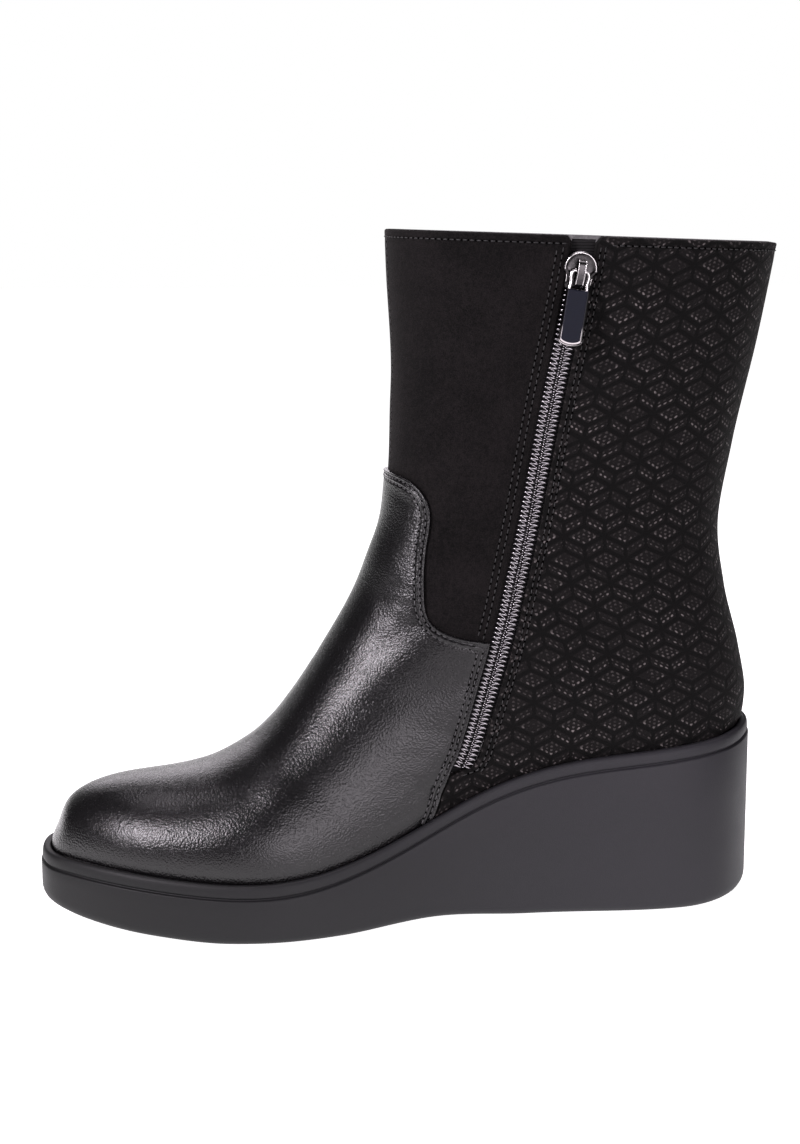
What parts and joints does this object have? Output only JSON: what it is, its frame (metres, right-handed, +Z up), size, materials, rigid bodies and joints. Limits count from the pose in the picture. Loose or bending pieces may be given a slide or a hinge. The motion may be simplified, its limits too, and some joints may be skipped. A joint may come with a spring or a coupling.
{
  "type": "leather ankle boot",
  "caption": "Ankle boot with a smooth leather vamp, a suede shaft with an embossed back, an inner side zip and a wedge sole.",
  "frame": {"origin": "on the ground, under the middle of the boot's box", "axes": "+X towards the heel, -X towards the toe, -Y towards the inner side with the zip, +Z up"},
  "size_m": [0.2604, 0.0952, 0.238],
  "materials": {
    "moulded_sole": "moulded charcoal wedge, matt side and satin rim",
    "insole_lining": "soft dark lining leather",
    "shaft_suede": "plain black suede with a short nap",
    "vamp_leather": "smooth black leather with a fine grain and a soft shine",
    "embossed_suede": "black suede embossed with a lattice of cubes",
    "zip_cloth": "black woven tape",
    "zip_coil": "shiny black coil",
    "zip_metal": "bright nickel plate",
    "pull_metal": "nickel plated wire",
    "tab_enamel": "dark enamel with a bright end"
  },
  "bodies": {
    "boot": {"outsole": "moulded_sole", "insole": "insole_lining", "upper": "shaft_suede", "vamp": "vamp_leather", "back_panel": "embossed_suede", "zip_tape": "zip_cloth", "zip_chain": "zip_coil", "zip_slider": "zip_metal"},
    "pull": {"zip_pull": "pull_metal", "zip_pull_tab": "tab_enamel"}
  },
  "joints": [
    {"name": "pull_lift", "type": "hinge", "parent": "boot", "child": "pull", "pos_m": [0.05159, -0.04009, 0.22427], "axis": [-0.9857, 0.0633, 0.1561], "range_deg": [0, 160]}
  ]
}
